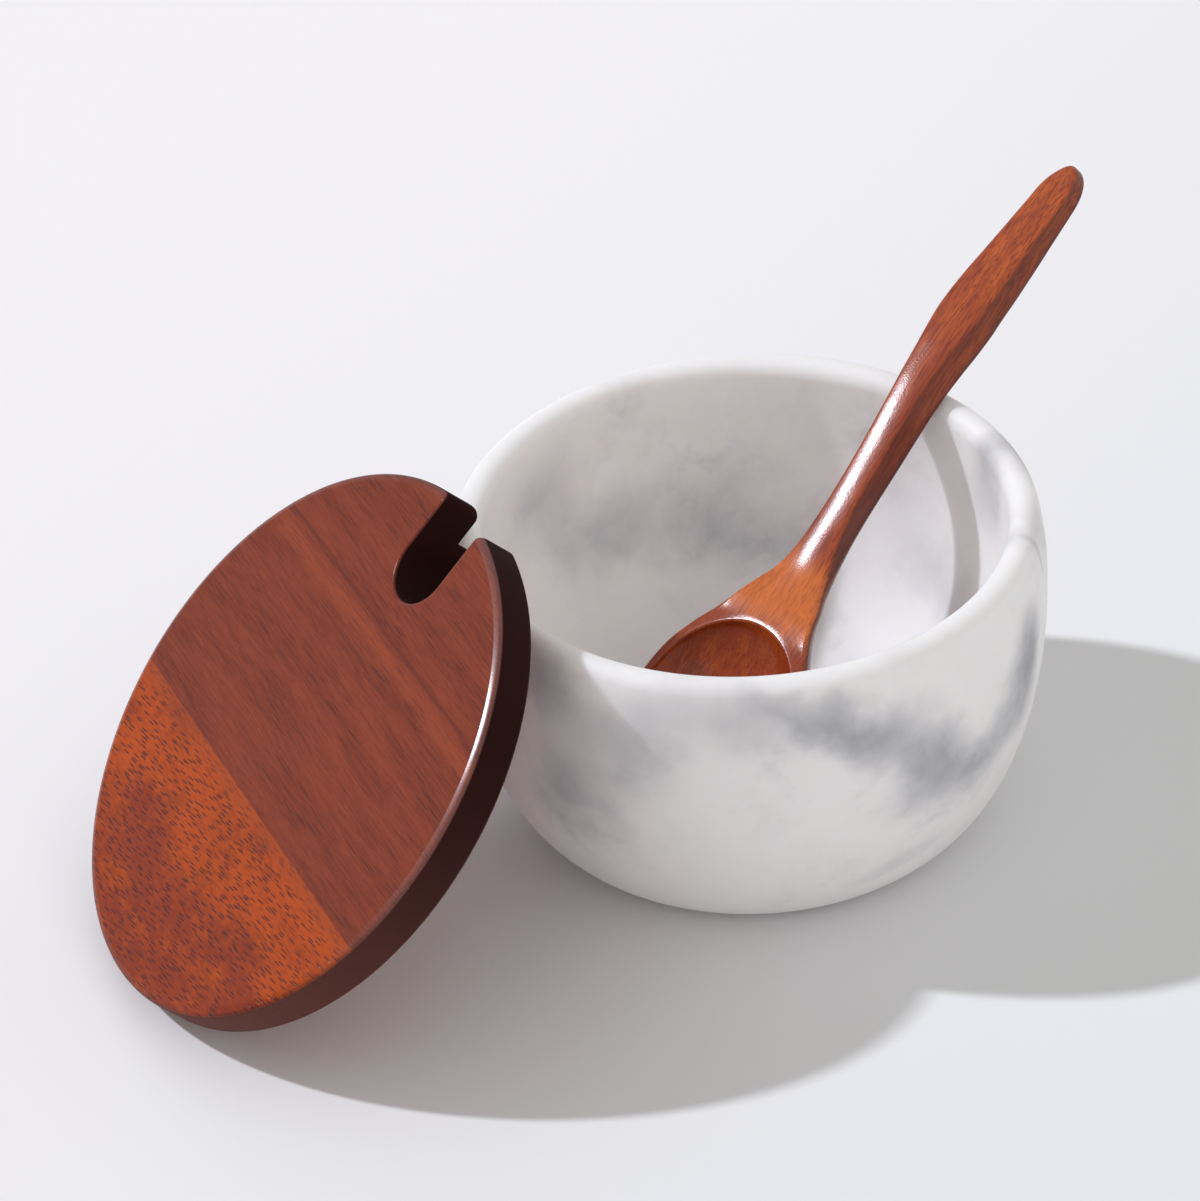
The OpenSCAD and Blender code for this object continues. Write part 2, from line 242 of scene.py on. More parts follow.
def bowl_tree():
    tree, size, output = new_tree("turned_bowl", "GeometryNodeTree", [
        ("Bowl Radius", "NodeSocketFloat", BOWL_R),
        ("Foot Radius", "NodeSocketFloat", FOOT_R),
        ("Widest Height", "NodeSocketFloat", WIDEST_HEIGHT),
        ("Lip Radius", "NodeSocketFloat", LIP_R),
        ("Lip Middle Radius", "NodeSocketFloat", LIP_MID_R),
        ("Lip Middle Height", "NodeSocketFloat", LIP_MID_HEIGHT),
        ("Hollow Radius", "NodeSocketFloat", HOLLOW_R),
        ("Floor Thickness", "NodeSocketFloat", FLOOR_THICKNESS),
        ("Steps Around", "NodeSocketInt", STEPS_AROUND),
        ("Material", "NodeSocketMaterial", None),
    ], [("Geometry", "NodeSocketGeometry")])

    position = tree.nodes.new("GeometryNodeInputPosition")
    split = add_node(tree, "ShaderNodeSeparateXYZ", {0: position.outputs[0]})
    turn = (Field(tree, split.outputs[0]) + 0.5) * math.tau
    along = Field(tree, split.outputs[1]) + 0.5
    joined = tree.nodes.new("GeometryNodeJoinGeometry")

    def turned_strip(radius, height, steps):
        grid = add_node(tree, "GeometryNodeMeshGrid", {
            "Size X": 1.0, "Size Y": 1.0,
            "Vertices X": size["Steps Around"] + 1, "Vertices Y": steps + 1})
        place = add_node(tree, "ShaderNodeCombineXYZ", {
            0: radius * turn.cos(), 1: radius * turn.sin(), 2: height})
        moved = add_node(tree, "GeometryNodeSetPosition", {
            "Geometry": grid.outputs[0], "Position": place.outputs[0]})
        tree.links.new(moved.outputs[0], joined.inputs[0])

    def superellipse(a, b, fullness, share):
        angle = share * (math.pi / 2)
        return a * angle.sin() ** (2 / fullness), b * (1 - angle.cos() ** (2 / fullness))

    lip_r, lip_mid_r = size["Lip Radius"], size["Lip Middle Radius"]
    lip_z, widest = size["Lip Middle Height"], size["Widest Height"]
    back = 1 - along

    def upper_wall(wall_r, lip_angle, share):
        """The wall above its widest height, which draws in to meet the lip's rounding."""
        end_r = lip_mid_r + lip_r * math.cos(lip_angle)
        end_z = lip_z + lip_r * math.sin(lip_angle)
        return (wall_r - (wall_r - end_r) * share ** WALL_POWER,
                widest + (end_z - widest) * share)

    out, rise = superellipse(
        size["Bowl Radius"] - size["Foot Radius"], widest, OUTER_FULLNESS, along)
    lip_angle = LIP_FROM + along * (LIP_TO - LIP_FROM)
    inner_out, inner_rise = superellipse(
        size["Hollow Radius"], widest - size["Floor Thickness"], INNER_FULLNESS, back)
    # From the middle of the foot, round the outside and over the lip, to the hollow's middle
    turned_strip(size["Foot Radius"] * along, along * 0, FOOT_STEPS)
    turned_strip(size["Foot Radius"] + out, rise, CURVED_WALL_STEPS)
    turned_strip(*upper_wall(size["Bowl Radius"], LIP_FROM, along), UPPER_WALL_STEPS)
    turned_strip(lip_mid_r + lip_r * lip_angle.cos(), lip_z + lip_r * lip_angle.sin(),
                 LIP_STEPS)
    turned_strip(*upper_wall(size["Hollow Radius"], LIP_TO, back), UPPER_WALL_STEPS)
    turned_strip(inner_out, size["Floor Thickness"] + inner_rise, CURVED_WALL_STEPS)

    merged = add_node(tree, "GeometryNodeMergeByDistance", {
        "Geometry": joined.outputs[0], "Distance": MERGE_DISTANCE})
    real = add_node(tree, "GeometryNodeRealizeInstances", {0: merged.outputs[0]})
    smooth = add_node(tree, "GeometryNodeSetShadeSmooth", {0: real.outputs[0]})
    dressed = add_node(tree, "GeometryNodeSetMaterial", {
        "Geometry": smooth.outputs[0], "Material": size["Material"]})
    tree.links.new(dressed.outputs[0], output.inputs[0])
    return tree


def bowl_mesh(material):
    """The tree's result as a plain mesh."""
    maker = bpy.data.objects.new("bowl_maker", bpy.data.meshes.new("bowl_maker"))
    bpy.context.scene.collection.objects.link(maker)
    modifier = maker.modifiers.new("turned_bowl", "NODES")
    modifier.node_group = bowl_tree()
    for socket in modifier.node_group.interface.items_tree:
        if socket.in_out == "INPUT" and socket.name == "Material":
            modifier[socket.identifier] = material
    depsgraph = bpy.context.evaluated_depsgraph_get()
    mesh = bpy.data.meshes.new_from_object(maker.evaluated_get(depsgraph))
    mesh.name = "marble_bowl"
    bpy.data.objects.remove(maker)
    return mesh


# The lid: two boards, each a flange with a plug under it, flush at the seam

CIRCLE_STEPS = 90
CORNER_STEPS = 7
WALL_STEPS = 6
MOUTH_STEPS = 3
SLOT_END_STEPS = 36
EDGE_STEPS = 6
# The lid's upper edge, from its flat face down to its side: insets and depths in millimetres
LID_EDGE = ((1.9, 0), (1.6, 0), (1.45, 0.025), (1.3, 0.07), (1, 0.18), (0.7, 0.295), (0.45, 0.42),
            (0.25, 0.6), (0.1, 0.85), (0.03, 1.1), (0, 1.4))
# A flat rim inside each rounded edge, which keeps the flat face's shading flat
RIM = 0.3 * MM
SLOT_END_X = LID_R - SLOT_LENGTH + SLOT_WIDTH / 2


def edge_round(r, height, direction):
    """The insets and heights of a rounded edge from a face at a height, down or back up."""
    steps = []
    for i in range(EDGE_STEPS + 1):
        angle = math.pi / 2 * i / EDGE_STEPS
        steps.append((r * (1 - math.sin(angle)), height - direction * r * (1 - math.cos(angle))))
    return steps if direction > 0 else steps[::-1]


def arc(centre, r, from_angle, to_angle, steps):
    return [(centre[0] + r * math.cos(a), centre[1] + r * math.sin(a))
            for a in (from_angle + (to_angle - from_angle) * i / steps for i in range(steps + 1))]


def straight(from_point, to_point, steps):
    return [tuple(a + (b - a) * i / steps for a, b in zip(from_point, to_point))
            for i in range(steps + 1)]


def mouth_place(radius, half_slot, corner_r, side):
    """The middle of the rounded corner between the lid's edge and one side of the slot."""
    y = SLOT_SHIFT + side * (half_slot + corner_r)
    return math.sqrt((radius - corner_r) ** 2 - y * y), y


# From here inwards, the flange's slot and the plug's have the same sides
PLUG_MOUTH_X = PLUG_R - 2.1 * MM
# The slot's corner keeps at least this share of its radius where the edge is rounded away
LEAST_CORNER = 0.2


def main_board_chain(radius, edge, slot, corner_r, mouth_steps):
    """One level of the slotted board's side, from one end of the seam round to the other.
    edge and slot are the inset and height at the lid's edge and along the slot."""
    half_slot = SLOT_WIDTH / 2 + slot[0]
    reach = radius - edge[0]
    corner = max(corner_r - edge[0], corner_r * LEAST_CORNER)
    seam_angle = math.acos(SEAM_X / reach)
    halves = []
    for side in (-1, 1):
        middle = mouth_place(reach, half_slot, corner, side)
        mouth_angle = math.atan2(middle[1], middle[0])
        wall_y = SLOT_SHIFT + side * half_slot
        outer = [(p, edge[1]) for p in arc(
            (0, 0), reach, side * seam_angle, mouth_angle, CIRCLE_STEPS)]
        rounding = arc(middle, corner, mouth_angle, -side * math.pi / 2, CORNER_STEPS)
        outer += [(p, edge[1] + (slot[1] - edge[1]) * (i / CORNER_STEPS) ** 2)
                  for i, p in enumerate(rounding)][1:]
        outer += [(p, slot[1]) for p in straight(
            (middle[0], wall_y), (PLUG_MOUTH_X, wall_y), mouth_steps)][1:]
        outer += [(p, slot[1]) for p in straight(
            (PLUG_MOUTH_X, wall_y), (SLOT_END_X, wall_y), WALL_STEPS)][1:]
        halves.append(outer)
    end = [(p, slot[1]) for p in arc(
        (SLOT_END_X, SLOT_SHIFT), half_slot, -math.pi / 2, -1.5 * math.pi, SLOT_END_STEPS)]
    chain = halves[0] + end[1:-1] + halves[1][::-1]
    return [(x, y, z) for (x, y), z in chain]


def side_board_chain(radius, edge, *_):
    """One level of the plain board's side, from one end of the seam round to the other."""
    reach = radius - edge[0]
    seam_angle = math.acos(SEAM_X / reach)
    return [(x, y, edge[1]) for x, y in arc(
        (0, 0), reach, seam_angle, math.tau - seam_angle, 2 * CIRCLE_STEPS)]


def board_mesh(name, chain):
    """A board with rounded edges. Its flat faces and its glue face are one face each."""
    flange_low = -FLANGE_THICKNESS
    plug_low = -LID_THICKNESS
    edge = ([(inset * MM, -depth * MM) for inset, depth in LID_EDGE]
            + edge_round(FLANGE_EDGE_R, flange_low, -1) + [(FLANGE_EDGE_R + RIM, flange_low)])
    slot = [(SLOT_EDGE_R + RIM, 0)] + edge_round(SLOT_EDGE_R, 0, 1)
    lowest = slot[-1][1]
    rest = len(edge) - len(slot)
    slot += [(0, lowest + (flange_low - lowest) * (i + 1) / rest) for i in range(rest)]
    flange = [chain(LID_R, e, s, SLOT_CORNER_R, MOUTH_STEPS) for e, s in zip(edge, slot)]
    edge = ([(0, flange_low)] + edge_round(PLUG_EDGE_R, plug_low, -1)
            + [(PLUG_EDGE_R + RIM, plug_low)])
    slot = ([(0, flange_low)] + edge_round(SLOT_EDGE_R, plug_low, -1)
            + [(SLOT_EDGE_R + RIM, plug_low)])
    plug = [chain(PLUG_R, e, s, PLUG_CORNER_R, 1) for e, s in zip(edge, slot)]

    points, faces = [], []

    def add_levels(levels):
        start = len(points)
        for level in levels:
            points.extend(level)
        return [[start + i * len(levels[0]) + j for j in range(len(levels[0]))]
                for i in range(len(levels))]

    flange_rows = add_levels(flange)
    plug_rows = add_levels(plug)
    for rows in (flange_rows, plug_rows):
        for above, below in zip(rows, rows[1:]):
            for j in range(len(above) - 1):
                faces.append((above[j], below[j], below[j + 1], above[j + 1]))
    top, under = flange_rows[0], flange_rows[-1]
    ledge, bottom = plug_rows[0], plug_rows[-1]
    faces.append(top)
    faces.append(bottom[::-1])
    # The flange's underside: all round, or on both sides of the slot
    if len(under) == len(ledge):
        faces.append(under[::-1] + ledge)
    else:
        side_points = CIRCLE_STEPS + CORNER_STEPS + 1
        for outer, inner in (
                (under[:side_points + MOUTH_STEPS], ledge[:side_points + 1]),
                (under[-side_points - MOUTH_STEPS:], ledge[-side_points - 1:])):
            faces.append(outer[::-1] + inner)
    rows = flange_rows + plug_rows
    faces.append([r[0] for r in rows][::-1] + [r[-1] for r in rows])
    return mesh_from(name, points, faces, LID_PLACE, sharp_degrees=40)


# The spoon: its own frame has +X from the scoop's tip to the handle's end, and +Z up

SCOOP_MID = SCOOP_LENGTH / 2
HOLLOW_A = SCOOP_MID - SCOOP_RIM
HOLLOW_A_SHOULDER = HOLLOW_A - 1.5 * MM
HOLLOW_B = SCOOP_WIDTH / 2 - SCOOP_RIM
END_ROUND = 0.6 * HANDLE_WIDTH
END_THIN = 0.55
SPOON_EDGE_R = 0.6 * MM
# How far the spoon's sides swell out below its upper edge, before the curve along the handle
SIDE_SWELL = 1 * MM
# The upper face falls away from the hollow's rim by this much, most of it over this distance
RIM_FALL = 0.45 * MM
RIM_FALL_REACH = 2.6 * MM
SCOOP_BELLY = 2
HANDLE_BELLY = 7
# The wall of the hollow meets its rounded rim at this share of the hollow's size, at the
# tip and at the shoulder
RIM_SHARE_TIP = 0.995
RIM_SHARE_SHOULDER = 0.994
# Where the scoop's own mesh ends and the handle's begins
SHOULDER_X = 50 * MM
SCOOP_STEPS = 36
SHOULDER_STEPS = 40
HANDLE_STEPS = 96
END_STEPS = 14
TOP_STEPS = 24
BELLY_STEPS = 30
LEDGE_STEPS = 14
HOLLOW_STEPS = 24
RIM_STEPS = 6
# How far round the hollow, from the tip, its loops meet the scoop's long sides
SHOULDER_TURN = math.radians(140)


def mix(a, b, share):
    return a + (b - a) * share


def ease(share):
    share = max(0, min(1, share))
    return share * share * (3 - 2 * share)


def handle_place(share):
    return SCOOP_LENGTH + share * (SPOON_LENGTH - SCOOP_LENGTH)


def on_scoop(size, *pairs):
    return [(share * SCOOP_LENGTH, value * size) for share, value in pairs]


def on_handle(size, *pairs):
    return [(handle_place(share), value * size) for share, value in pairs]


def smooth_curve(pairs):
    """A smooth curve through pairs of place and value, without overshoot."""
    rises = [(b[1] - a[1]) / (b[0] - a[0]) for a, b in zip(pairs, pairs[1:])]
    slopes = [0] + [0 if a * b <= 0 else 2 * a * b / (a + b)
                    for a, b in zip(rises, rises[1:])] + [0]

    def value(at):
        i = 0
        while i < len(pairs) - 2 and at >= pairs[i + 1][0]:
            i += 1
        width = pairs[i + 1][0] - pairs[i][0]
        t = max(0, min(1, (at - pairs[i][0]) / width))
        return (pairs[i][1] * (1 + 2 * t) * (1 - t) ** 2 + slopes[i] * width * t * (1 - t) ** 2
                + pairs[i + 1][1] * t * t * (3 - 2 * t)
                + slopes[i + 1] * width * t * t * (t - 1))
    return value


spoon_half_width = smooth_curve(
    on_scoop(SCOOP_WIDTH / 2, (0.5, 1), (0.639, 0.965), (0.797, 0.82), (0.97, 0.59))
    + on_handle(SCOOP_WIDTH / 2, (0.048, 0.445), (0.075, 0.362), (0.105, 0.3))
    + on_handle(NECK_WIDTH / 2, (0.134, 1.38), (0.175, 1.16), (0.244, 0.98), (0.311, 0.92),
                (0.379, 0.93))
    + on_handle(HANDLE_WIDTH / 2, (0.45, 0.51), (0.506, 0.555), (0.562, 0.61), (0.607, 0.69),
                (0.658, 0.765), (0.716, 0.765), (0.778, 0.71), (0.847, 0.64), (0.917, 0.585),
                (1, 0.55)))
spoon_thickness = smooth_curve(
    on_scoop(SCOOP_HEIGHT, (0, 0.17), (0.079, 0.44), (0.214, 0.75), (0.397, 0.958), (0.532, 1),
             (0.718, 0.96), (0.904, 0.75))
    + on_handle(NECK_THICKNESS, (0.048, 1.04), (0.134, 0.98), (0.244, 0.9), (0.352, 0.883))
    + on_handle(HANDLE_THICKNESS, (0.4165, 1.035), (0.4924, 0.97), (0.547, 1.035),
                (0.612, 1.14), (0.677, 1.2), (0.785, 1.1), (0.894, 0.965), (1, 0.75)))
# How far the underside's own line lies below the scoop's tip
spoon_drop = smooth_curve(
    on_scoop(NECK_DROP, (0, 0), (0.483, 0.6), (0.967, 0.98))
    + on_handle(NECK_DROP, (0.099, 1), (0.226, 0.965), (0.381, 0.85), (0.55, 0.77),
                (0.662, 0.8), (0.718, 0.9))
    + on_handle(END_DROP, (0.789, 0.63), (0.859, 0.74), (0.93, 0.86), (1, 1)))
# The same for the crest of the upper face
crest_drop = smooth_curve(
    on_scoop(NECK_DROP, (0, 0), (0.483, 0.6), (0.798, 0.765), (0.9, 0.8), (0.968, 0.776))
    + on_handle(NECK_DROP, (0.0043, 0.776), (0.048, 0.865), (0.1, 0.915), (0.134, 0.89),
                (0.189, 0.808), (0.243, 0.74), (0.297, 0.681), (0.351, 0.63), (0.46, 0.5),
                (0.514, 0.472), (0.568, 0.478), (0.6, 0.505), (0.677, 0.648))
    + on_handle(END_DROP, (0.731, 0.464), (0.785, 0.5625), (0.84, 0.656), (0.894, 0.75),
                (0.948, 0.844), (1, 0.958)))
# How strongly the upper face bends across, and how far the crest lies to the +Y side
NECK_BEND = 0.055 / MM
crest_bend = smooth_curve(on_handle(
    NECK_BEND, (0, 0), (0.048, 0.25), (0.095, 0.85), (0.156, 1.1), (0.243, 1), (0.351, 1),
    (0.46, 1), (0.568, 0.9), (0.677, 0.7), (0.785, 0.45), (1, 0.35)))
crest_shift = smooth_curve(on_handle(
    NECK_WIDTH / 2, (0, 0), (0.07, 0.3), (0.134, 0.34), (0.19, 0.22), (0.243, 0.16),
    (0.351, 0.24), (0.46, 0.35), (0.525, 0.48), (0.6, 0.45), (0.677, 0.35), (0.785, 0.1),
    (1, 0)))
side_swell = smooth_curve(on_handle(
    SIDE_SWELL, (0, 0.6), (0.14, 0.8), (0.24, 0.9), (0.35, 1.2), (0.46, 1.7), (0.57, 2),
    (0.68, 1.5), (0.8, 1.3), (1, 1)))
# Between these places the underside's section changes from the scoop's to the handle's
SECTION_FROM = handle_place(0.014)
SECTION_TO = handle_place(0.352)


def half_width(x):
    if x < SCOOP_MID:
        return SCOOP_WIDTH / 2 * math.sqrt(max(0, 1 - (x / SCOOP_MID - 1) ** 2))
    return spoon_half_width(x) * end_chord(x)


def end_chord(x):
    return math.sqrt(max(0, 1 - (max(0, x - SPOON_LENGTH + END_ROUND) / END_ROUND) ** 2))


def handle_share(x):
    return ease((x - SECTION_FROM) / (SECTION_TO - SECTION_FROM))


def hollow_reach(x):
    return HOLLOW_A if x < SCOOP_MID else HOLLOW_A_SHOULDER


def past_hollow(x, y):
    """About how far a place on the upper face lies outside the hollow."""
    share = math.hypot((x - SCOOP_MID) / hollow_reach(x), y / HOLLOW_B)
    return max(0, math.hypot(x - SCOOP_MID, y) * (1 - 1 / share)) if share > 0 else 0


def top_height(x, y):
    """The height of the spoon's upper face without its hollow."""
    fall = RIM_FALL * (1 - 1 / (1 + (past_hollow(x, y) / RIM_FALL_REACH) ** 2))
    return -crest_drop(x) - fall - crest_bend(x) / 2 * (y - crest_shift(x)) ** 2


def hollow_depth(share):
    """The depth of the hollow at a share of the way from its middle to its rim."""
    return HOLLOW_DEPTH * max(0, 1 - share * share) ** HOLLOW_POWER


def spoon_stations():
    """Places along the spoon, and the share of the scoop's own mesh that each one ends."""
    scoop = [SCOOP_MID * (1 - math.cos(math.pi / 2 * i / SCOOP_STEPS))
             for i in range(SCOOP_STEPS + 1)]
    shoulder = [mix(SCOOP_MID, SHOULDER_X, i / SHOULDER_STEPS)
                for i in range(1, SHOULDER_STEPS + 1)]
    handle = [mix(SHOULDER_X, SPOON_LENGTH - END_ROUND, i / HANDLE_STEPS)
              for i in range(1, HANDLE_STEPS + 1)]
    end = [SPOON_LENGTH - END_ROUND * (1 - math.sin(math.pi / 2 * i / END_STEPS))
           for i in range(1, END_STEPS + 1)]
    return scoop + shoulder + handle + end


def outline_normals(stations):
    """The direction in plan that points out of the spoon's +Y side at each station."""
    widths = [half_width(x) for x in stations]
    normals = []
    for i in range(len(stations)):
        a, b = max(0, i - 1), min(len(stations) - 1, i + 1)
        dx, dw = stations[b] - stations[a], widths[b] - widths[a]
        if a == i or b == i:
            dx = 0
        length = math.hypot(dx, dw)
        normals.append((-dw / length, dx / length))
    return normals


def spoon_mesh():
    """Rings round the hollow on the scoop, rows across the handle, and one belly under both."""
    stations = spoon_stations()
    normals = outline_normals(stations)
    points, faces = [], []

    def add(point):
        points.append(point)
        return len(points) - 1

    def bridge(a, b):
        for j in range(len(a) - 1):
            faces.append((a[j], b[j], b[j + 1], a[j + 1]))

    def edge_points(i, side):
        """From the upper face over the rounded edge to the side, at one station."""
        x, width, (nx, ny) = stations[i], half_width(stations[i]), normals[i]
        r = SPOON_EDGE_R
        made = []
        for step in range(EDGE_STEPS + 1):
            angle = math.pi / 2 * step / EDGE_STEPS
            inset = r * (1 - math.sin(angle))
            px, py = x - nx * inset, max(0, width - ny * inset)
            py *= side
            made.append((px, py, top_height(px, py) - r * (1 - math.cos(angle))))
        return made

    left = [[add(p) for p in edge_points(i, 1)] for i in range(len(stations))]
    right = [[add(p) for p in edge_points(i, -1)] for i in range(len(stations))]
    for i in range(len(stations) - 1):
        bridge(left[i][::-1], left[i + 1][::-1])
        bridge(right[i], right[i + 1])

    def belly(i):
        x, width = stations[i], half_width(stations[i])
        low = -spoon_drop(x) - spoon_thickness(x) * mix(END_THIN, 1, end_chord(x))
        on_handle_share = handle_share(x)
        fullness = mix(SCOOP_BELLY, HANDLE_BELLY, on_handle_share)
        swell = side_swell(x) * on_handle_share * end_chord(x)
        row = [left[i][-1]]
        for step in range(1, BELLY_STEPS):
            angle = math.pi * step / BELLY_STEPS
            c = math.cos(angle)
            down = math.sin(angle) ** (2 / fullness)
            side = mix(points[left[i][-1]][2], points[right[i][-1]][2], (1 - c) / 2)
            y = (width + swell * down) * math.copysign(abs(c) ** (2 / fullness), c)
            row.append(add((x, y, mix(side, low, down))))
        return row + [right[i][-1]]

    bellies = [belly(i) for i in range(len(stations))]
    for a, b in zip(bellies, bellies[1:]):
        bridge(b, a)

    def across(i):
        """The upper face's row from side to side at one station of the handle."""
        x, side_y, _ = points[left[i][0]]
        row = [left[i][0]]
        for step in range(1, TOP_STEPS):
            y = side_y * (1 - 2 * step / TOP_STEPS)
            row.append(add((x, y, top_height(x, y))))
        return row + [right[i][0]]

    shoulder = SCOOP_STEPS + SHOULDER_STEPS
    rows = [across(i) for i in range(shoulder, len(stations))]
    for a, b in zip(rows, rows[1:]):
        bridge(a, b)

    # The scoop's upper face: a loop round its outline, and the hollow's ellipse inside it
    outer = ([left[i][0] for i in range(shoulder + 1)] + rows[0][1:-1]
             + [right[i][0] for i in range(shoulder, 0, -1)])
    turns = [math.pi / 2 * i / SCOOP_STEPS for i in range(SCOOP_STEPS)]
    turns += [mix(math.pi / 2, SHOULDER_TURN, i / SHOULDER_STEPS)
              for i in range(SHOULDER_STEPS + 1)]
    turns += [mix(SHOULDER_TURN, math.tau - SHOULDER_TURN, i / TOP_STEPS)
              for i in range(1, TOP_STEPS)]
    turns += [math.tau - t for t in turns[shoulder:0:-1]]

    def reach_at(turn):
        return HOLLOW_A if math.cos(turn) > 0 else HOLLOW_A_SHOULDER

    def in_hollow(turn, share):
        x = SCOOP_MID - share * reach_at(turn) * math.cos(turn)
        y = share * HOLLOW_B * math.sin(turn)
        return x, y, -crest_drop(x) - hollow_depth(share)

    loops = [outer]
    rim_starts = []
    rims = []
    for turn in turns:
        at_shoulder = ease((1 - math.cos(turn)) / 2)
        share = mix(RIM_SHARE_TIP, RIM_SHARE_SHOULDER, at_shoulder)
        gx, gy = -math.cos(turn) / reach_at(turn), math.sin(turn) / HOLLOW_B
        steep = math.hypot(gx, gy)
        depth = hollow_depth(share)
        fall = 2 * HOLLOW_POWER * share * depth / (1 - share * share) * steep
        angle = math.atan(fall)
        r = depth / (1 - math.cos(angle))
        x, y, _ = in_hollow(turn, share)
        rim = []
        for step in range(RIM_STEPS):
            a = angle * step / RIM_STEPS
            out = r * (math.sin(angle) - math.sin(a))
            px, py = x + gx / steep * out, y + gy / steep * out
            rim.append((px, py, top_height(px, py) - r * (1 - math.cos(a))))
        rims.append(rim)
        rim_starts.append(share)
    for step in range(1, LEDGE_STEPS):
        share = step / LEDGE_STEPS
        loop = []
        for i, index in enumerate(outer):
            px = mix(points[index][0], rims[i][0][0], share)
            py = mix(points[index][1], rims[i][0][1], share)
            loop.append(add((px, py, top_height(px, py))))
        loops.append(loop)
    for step in range(RIM_STEPS):
        loops.append([add(rim[step]) for rim in rims])
    for step in range(HOLLOW_STEPS):
        share = math.sin(math.pi / 2 * (1 - step / HOLLOW_STEPS))
        loops.append([add(in_hollow(turn, start * share))
                      for turn, start in zip(turns, rim_starts)])
    for a, b in zip(loops, loops[1:]):
        bridge(a + a[:1], b + b[:1])
    faces.append(loops[-1])
    return mesh_from("wooden_spoon", points, faces, SPOON_PLACE, sharp_degrees=60)


# Stage

CAMERA_PITCH = math.radians(35.87)
CAMERA_ROLL = math.radians(-3.48)
CAMERA_PLACE = (-24.91 * MM, -1021.5 * MM, 780.6 * MM)
# The sensor's width and the lens, in the millimetres of a camera
SENSOR_WIDTH = 36
LENS = 225.82


def aim_camera():
    """The photograph's view: a long lens, 36 degrees down, turned a little to one side."""
    pitch, roll = CAMERA_PITCH, CAMERA_ROLL
    forward = Vector((0, math.cos(pitch), -math.sin(pitch)))
    right = Vector((1, 0, 0))
    up = right.cross(forward)
    turned_right = math.cos(roll) * right + math.sin(roll) * up
    turned_up = math.cos(roll) * up - math.sin(roll) * right
    camera = bpy.data.objects.new("camera", bpy.data.cameras.new("camera"))
    bpy.context.scene.collection.objects.link(camera)
    camera.data.sensor_width = SENSOR_WIDTH
    camera.data.lens = LENS
    camera.data.clip_end = 20
    turn = Matrix((turned_right, turned_up, -forward)).transposed().to_4x4()
    camera.matrix_world = Matrix.Translation(CAMERA_PLACE) @ turn
    bpy.context.scene.camera = camera


aim_camera()


# Shader groups and helpers. All patterns are in millimetres.

def split(tree, vector):
    node = add_node(tree, "ShaderNodeSeparateXYZ", {0: vector})
    return [Field(tree, socket) for socket in node.outputs]


def join(tree, *fields):
    return add_node(tree, "ShaderNodeCombineXYZ", dict(enumerate(fields))).outputs[0]


def noise(tree, vector, scale=1.0, detail=2.0, roughness=0.5):
    node = add_node(tree, "ShaderNodeTexNoise", {
        "Vector": vector, "Scale": scale, "Detail": detail, "Roughness": roughness})
    return Field(tree, node.outputs[0])


def wood_grain_tree():
    """Wood with its grain along Y: broad bands, fine fibres, and pores that show as dashes."""
    tree, size, output = new_tree("wood_grain", "ShaderNodeTree", [
        ("Vector", "NodeSocketVector", None),
        ("Wander", "NodeSocketFloat", 2.0),
        ("Band Width", "NodeSocketFloat", 7.0),
        ("Fibre Width", "NodeSocketFloat", 0.4),
        ("Fibre Length", "NodeSocketFloat", 6.0),
        ("Pore Spacing", "NodeSocketFloat", 0.8),
        ("Pore Length", "NodeSocketFloat", 3.0),
        ("Pore Tilt", "NodeSocketFloat", 0.0),
    ], [("Across", "NodeSocketFloat"), ("Bands", "NodeSocketFloat"),
        ("Fibres", "NodeSocketFloat"), ("Pores", "NodeSocketFloat")])
    x, y, z = split(tree, size["Vector"])
    x = x + (noise(tree, join(tree, x * 0.03, y * 0.012, z * 0.03), detail=1.0) - 0.5) \
        * size["Wander"]
    band, width, length = size["Band Width"], size["Fibre Width"], size["Fibre Length"]
    bands = noise(tree, join(tree, x / band, y / (band * 9), z / band), detail=3.0)
    fibres = noise(tree, join(tree, x / width, y / length, z / width), detail=3.0,
                   roughness=0.6)
    spacing = size["Pore Spacing"]
    cells = add_node(tree, "ShaderNodeTexVoronoi", {
        "Vector": join(tree, (x + y * size["Pore Tilt"]) / spacing, y / size["Pore Length"]),
        "Scale": 1.0}, voronoi_dimensions="2D")
    chance = split(tree, cells.outputs["Color"])[0]
    pores = Field(tree, cells.outputs["Distance"]).ramp(0.32, 0.18) * chance.ramp(0.0, 0.45)
    for i, field in enumerate((x, bands, fibres, pores)):
        feed(tree, output.inputs[i], field)
    return tree


def stone_cloud_tree():
    """A soft cloud in stone: 1 in its middle and 0 outside its radii."""
    tree, size, output = new_tree("stone_cloud", "ShaderNodeTree", [
        ("Vector", "NodeSocketVector", None),
        ("Place", "NodeSocketVector", None),
        ("Turn", "NodeSocketVector", None),
        ("Radii", "NodeSocketVector", None),
    ], [("Cloud", "NodeSocketFloat")])
    inside = add_node(tree, "ShaderNodeMapping", {
        "Vector": size["Vector"], "Location": size["Place"], "Rotation": size["Turn"],
        "Scale": size["Radii"]}, vector_type="TEXTURE")
    reach = add_node(tree, "ShaderNodeVectorMath", {0: inside.outputs[0]}, operation="LENGTH")
    feed(tree, output.inputs[0], Field(tree, reach.outputs["Value"]).ramp(1.0, 0.0))
    return tree


